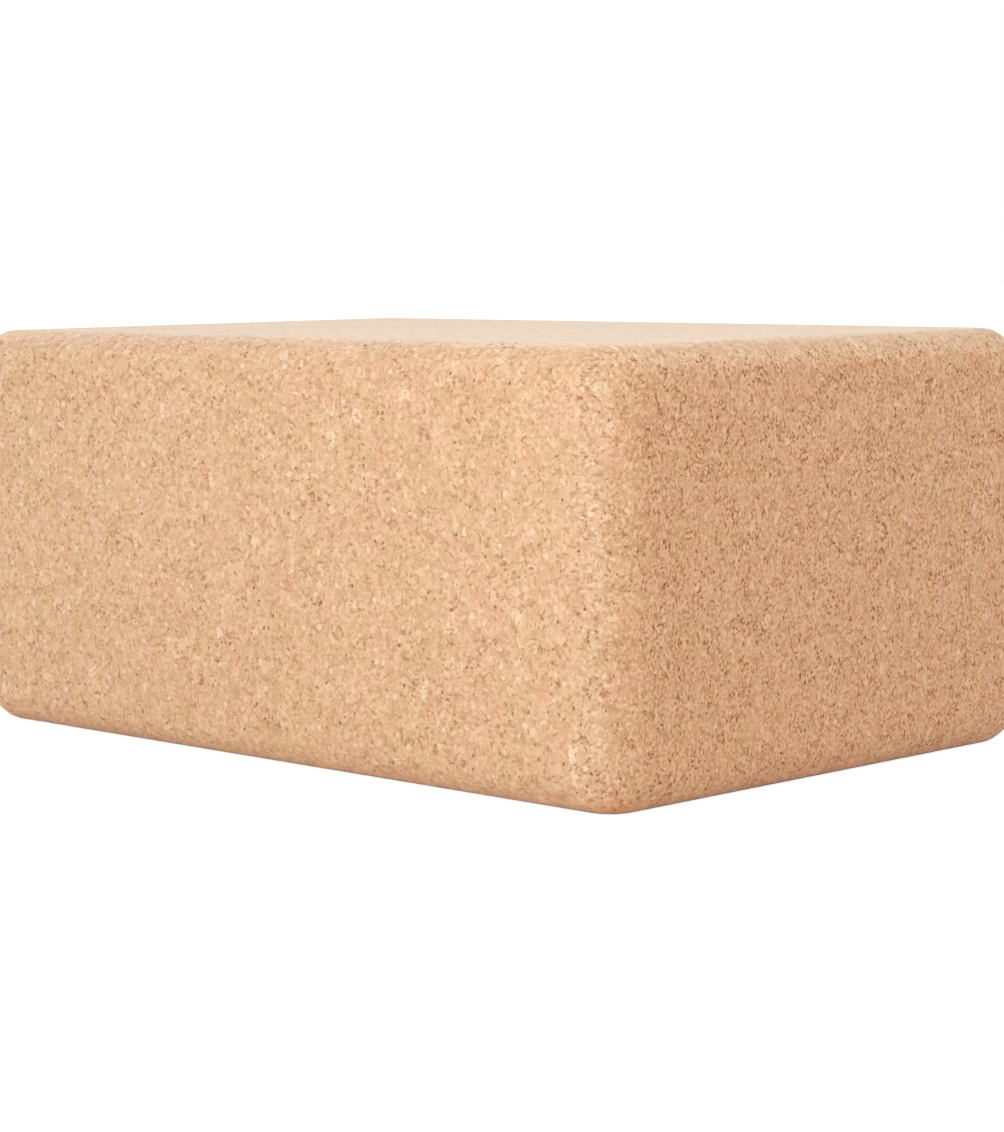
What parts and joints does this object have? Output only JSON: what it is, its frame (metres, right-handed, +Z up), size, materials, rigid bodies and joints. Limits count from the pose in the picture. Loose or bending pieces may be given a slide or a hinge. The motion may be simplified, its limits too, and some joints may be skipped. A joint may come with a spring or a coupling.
{
  "type": "yoga block",
  "caption": "Solid cork yoga block: a rectangular brick of pressed cork granules with all edges rounded, used as a support lying flat, on its side or on end.",
  "frame": {"origin": "centre of the largest face that the block lies on", "axes": "+X along the length, +Y along the width, +Z up through the height"},
  "size_m": [0.2286, 0.1524, 0.1016],
  "materials": {
    "cork": "matt pressed cork granules, light tan with brown specks"
  },
  "bodies": {
    "root": {"cork_block": "cork"}
  },
  "joints": []
}
